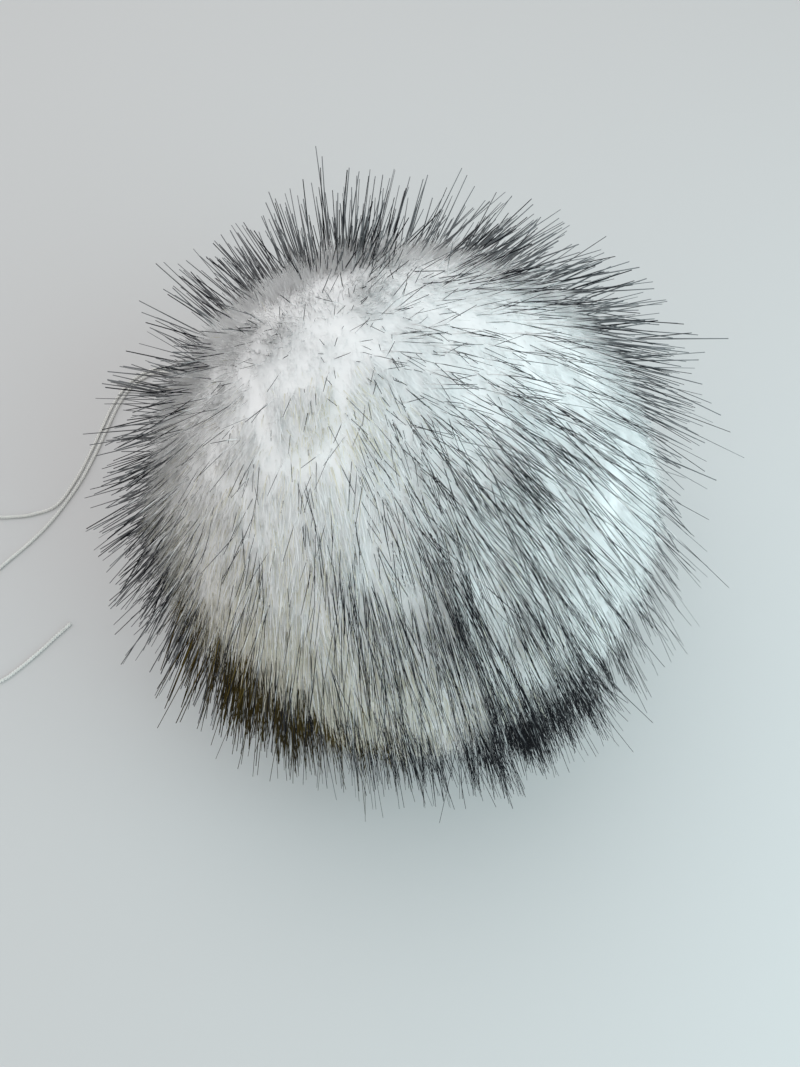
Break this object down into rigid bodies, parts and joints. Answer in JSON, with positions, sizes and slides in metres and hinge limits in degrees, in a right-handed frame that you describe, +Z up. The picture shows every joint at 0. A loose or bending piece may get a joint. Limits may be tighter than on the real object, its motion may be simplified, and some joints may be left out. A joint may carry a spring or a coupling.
{
  "type": "pom pom with tie threads",
  "caption": "Round faux-fur hat pom pom of long pile with dark-tipped guard hairs, resting on a small flat spot, with thin twisted tie threads.",
  "frame": {"origin": "under the middle of the ball's width, on the plane of the flat spot it rests on", "axes": "+Z up from the surface it rests on, -Y towards the viewer, +X to the viewer's right, so the tie threads lie towards -X"},
  "size_m": [0.1806, 0.1291, 0.1035],
  "materials": {
    "fur_ball": "long white faux-fur pile with black-tipped guard hairs, soft and matt",
    "tie_thread_short": "white twisted thread, matt",
    "tie_thread_long": "white twisted thread, matt"
  },
  "bodies": {
    "root": {"fur_ball": "fur_ball", "tie_thread_short": "tie_thread_short", "tie_thread_long": "tie_thread_long"}
  },
  "joints": []
}
